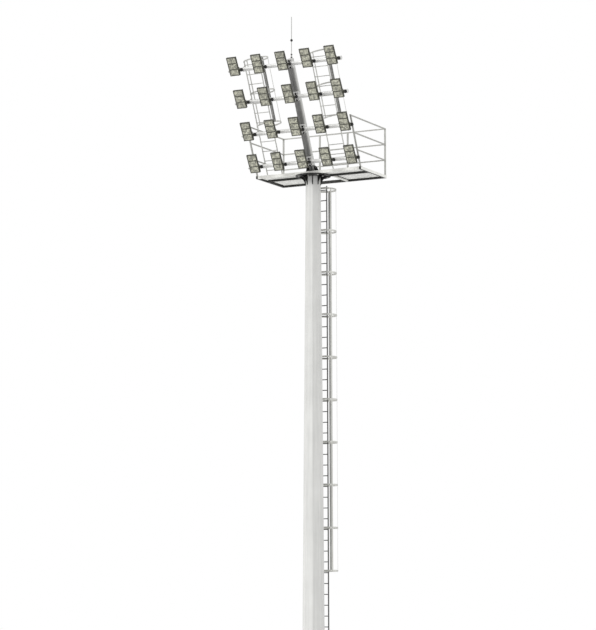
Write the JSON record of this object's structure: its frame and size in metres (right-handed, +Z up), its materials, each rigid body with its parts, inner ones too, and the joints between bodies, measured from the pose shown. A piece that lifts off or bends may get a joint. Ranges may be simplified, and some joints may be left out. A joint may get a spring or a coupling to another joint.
{
  "type": "high mast floodlight tower",
  "caption": "Octagonal tapered steel mast with a caged ladder, a railed platform and a leaning rack of floodlights that tilt, under a lightning rod.",
  "frame": {"origin": "centre of the base flange's underside, on the ground at the pole's axis", "axes": "+Z up the pole; -Y towards the lit side, where the floodlights face; +Y towards the ladders"},
  "size_m": [3.518, 3.3647, 18.2803],
  "materials": {
    "pole_paint": "satin light grey",
    "dark_steel": "dark galvanised steel",
    "spine_paint": "satin mid grey",
    "arm_steel": "light grey galvanised",
    "platform_steel": "light galvanised",
    "rail_steel": "galvanised",
    "grating_steel": "galvanised",
    "ladder_steel": "galvanised",
    "rod_steel": "galvanised",
    "lamp_housing": "cast and anodised, dark edges"
  },
  "bodies": {
    "tower": {"arm_1": "arm_steel", "arm_2": "arm_steel", "arm_3": "arm_steel", "arm_4": "arm_steel", "arm_saddles": "arm_steel", "base_flange": "dark_steel", "cable_cover": "pole_paint", "cage_hoops": "ladder_steel", "cage_straps": "ladder_steel", "floor_gratings": "grating_steel", "grating_ledgers": "platform_steel", "guard_rail_back": "rail_steel", "guard_rail_left": "rail_steel", "guard_rail_right": "rail_steel", "head_flange": "dark_steel", "ladder_standoffs": "ladder_steel", "lightning_rod": "rod_steel", "platform_cross_beams": "platform_steel", "platform_side_beams": "platform_steel", "platform_trimmers": "platform_steel", "pole_ladder": "ladder_steel", "pole_shaft": "pole_paint", "rack_hoops": "ladder_steel", "rack_ladder_left": "ladder_steel", "rack_ladder_right": "ladder_steel", "rack_straps": "ladder_steel", "spine": "spine_paint", "spine_foot": "dark_steel", "yokes_1": "arm_steel", "yokes_2": "arm_steel", "yokes_3": "arm_steel", "yokes_4": "arm_steel"},
    "lamp_1_1": {"floodlight_1_1": "lamp_housing"},
    "lamp_1_2": {"floodlight_1_2": "lamp_housing"},
    "lamp_1_3": {"floodlight_1_3": "lamp_housing"},
    "lamp_1_4": {"floodlight_1_4": "lamp_housing"},
    "lamp_1_5": {"floodlight_1_5": "lamp_housing"},
    "lamp_2_1": {"floodlight_2_1": "lamp_housing"},
    "lamp_2_2": {"floodlight_2_2": "lamp_housing"},
    "lamp_2_3": {"floodlight_2_3": "lamp_housing"},
    "lamp_2_4": {"floodlight_2_4": "lamp_housing"},
    "lamp_2_5": {"floodlight_2_5": "lamp_housing"},
    "lamp_3_1": {"floodlight_3_1": "lamp_housing"},
    "lamp_3_2": {"floodlight_3_2": "lamp_housing"},
    "lamp_3_3": {"floodlight_3_3": "lamp_housing"},
    "lamp_3_4": {"floodlight_3_4": "lamp_housing"},
    "lamp_3_5": {"floodlight_3_5": "lamp_housing"},
    "lamp_4_1": {"floodlight_4_1": "lamp_housing"},
    "lamp_4_2": {"floodlight_4_2": "lamp_housing"},
    "lamp_4_3": {"floodlight_4_3": "lamp_housing"},
    "lamp_4_4": {"floodlight_4_4": "lamp_housing"},
    "lamp_4_5": {"floodlight_4_5": "lamp_housing"}
  },
  "joints": [
    {"name": "tilt_1_1", "type": "hinge", "parent": "tower", "child": "lamp_1_1", "pos_m": [-1.534, -0.59158, 14.25954], "axis": [1, 0, 0], "range_deg": [-30, 30]},
    {"name": "tilt_1_2", "type": "hinge", "parent": "tower", "child": "lamp_1_2", "pos_m": [-0.767, -0.59158, 14.25954], "axis": [1, 0, 0], "range_deg": [-30, 30]},
    {"name": "tilt_1_3", "type": "hinge", "parent": "tower", "child": "lamp_1_3", "pos_m": [0, -0.59158, 14.25954], "axis": [1, 0, 0], "range_deg": [-30, 30]},
    {"name": "tilt_1_4", "type": "hinge", "parent": "tower", "child": "lamp_1_4", "pos_m": [0.767, -0.59158, 14.25954], "axis": [1, 0, 0], "range_deg": [-30, 30]},
    {"name": "tilt_1_5", "type": "hinge", "parent": "tower", "child": "lamp_1_5", "pos_m": [1.534, -0.59158, 14.25954], "axis": [1, 0, 0], "range_deg": [-30, 30]},
    {"name": "tilt_2_1", "type": "hinge", "parent": "tower", "child": "lamp_2_1", "pos_m": [-1.534, -0.98563, 15.11627], "axis": [1, 0, 0], "range_deg": [-30, 30]},
    {"name": "tilt_2_2", "type": "hinge", "parent": "tower", "child": "lamp_2_2", "pos_m": [-0.767, -0.98563, 15.11627], "axis": [1, 0, 0], "range_deg": [-30, 30]},
    {"name": "tilt_2_3", "type": "hinge", "parent": "tower", "child": "lamp_2_3", "pos_m": [0, -0.98563, 15.11627], "axis": [1, 0, 0], "range_deg": [-30, 30]},
    {"name": "tilt_2_4", "type": "hinge", "parent": "tower", "child": "lamp_2_4", "pos_m": [0.767, -0.98563, 15.11627], "axis": [1, 0, 0], "range_deg": [-30, 30]},
    {"name": "tilt_2_5", "type": "hinge", "parent": "tower", "child": "lamp_2_5", "pos_m": [1.534, -0.98563, 15.11627], "axis": [1, 0, 0], "range_deg": [-30, 30]},
    {"name": "tilt_3_1", "type": "hinge", "parent": "tower", "child": "lamp_3_1", "pos_m": [-1.534, -1.37968, 15.97299], "axis": [1, 0, 0], "range_deg": [-30, 30]},
    {"name": "tilt_3_2", "type": "hinge", "parent": "tower", "child": "lamp_3_2", "pos_m": [-0.767, -1.37968, 15.97299], "axis": [1, 0, 0], "range_deg": [-30, 30]},
    {"name": "tilt_3_3", "type": "hinge", "parent": "tower", "child": "lamp_3_3", "pos_m": [0, -1.37968, 15.97299], "axis": [1, 0, 0], "range_deg": [-30, 30]},
    {"name": "tilt_3_4", "type": "hinge", "parent": "tower", "child": "lamp_3_4", "pos_m": [0.767, -1.37968, 15.97299], "axis": [1, 0, 0], "range_deg": [-30, 30]},
    {"name": "tilt_3_5", "type": "hinge", "parent": "tower", "child": "lamp_3_5", "pos_m": [1.534, -1.37968, 15.97299], "axis": [1, 0, 0], "range_deg": [-30, 30]},
    {"name": "tilt_4_1", "type": "hinge", "parent": "tower", "child": "lamp_4_1", "pos_m": [-1.534, -1.77373, 16.82971], "axis": [1, 0, 0], "range_deg": [-30, 30]},
    {"name": "tilt_4_2", "type": "hinge", "parent": "tower", "child": "lamp_4_2", "pos_m": [-0.767, -1.77373, 16.82971], "axis": [1, 0, 0], "range_deg": [-30, 30]},
    {"name": "tilt_4_3", "type": "hinge", "parent": "tower", "child": "lamp_4_3", "pos_m": [0, -1.77373, 16.82971], "axis": [1, 0, 0], "range_deg": [-30, 30]},
    {"name": "tilt_4_4", "type": "hinge", "parent": "tower", "child": "lamp_4_4", "pos_m": [0.767, -1.77373, 16.82971], "axis": [1, 0, 0], "range_deg": [-30, 30]},
    {"name": "tilt_4_5", "type": "hinge", "parent": "tower", "child": "lamp_4_5", "pos_m": [1.534, -1.77373, 16.82971], "axis": [1, 0, 0], "range_deg": [-30, 30]}
  ]
}
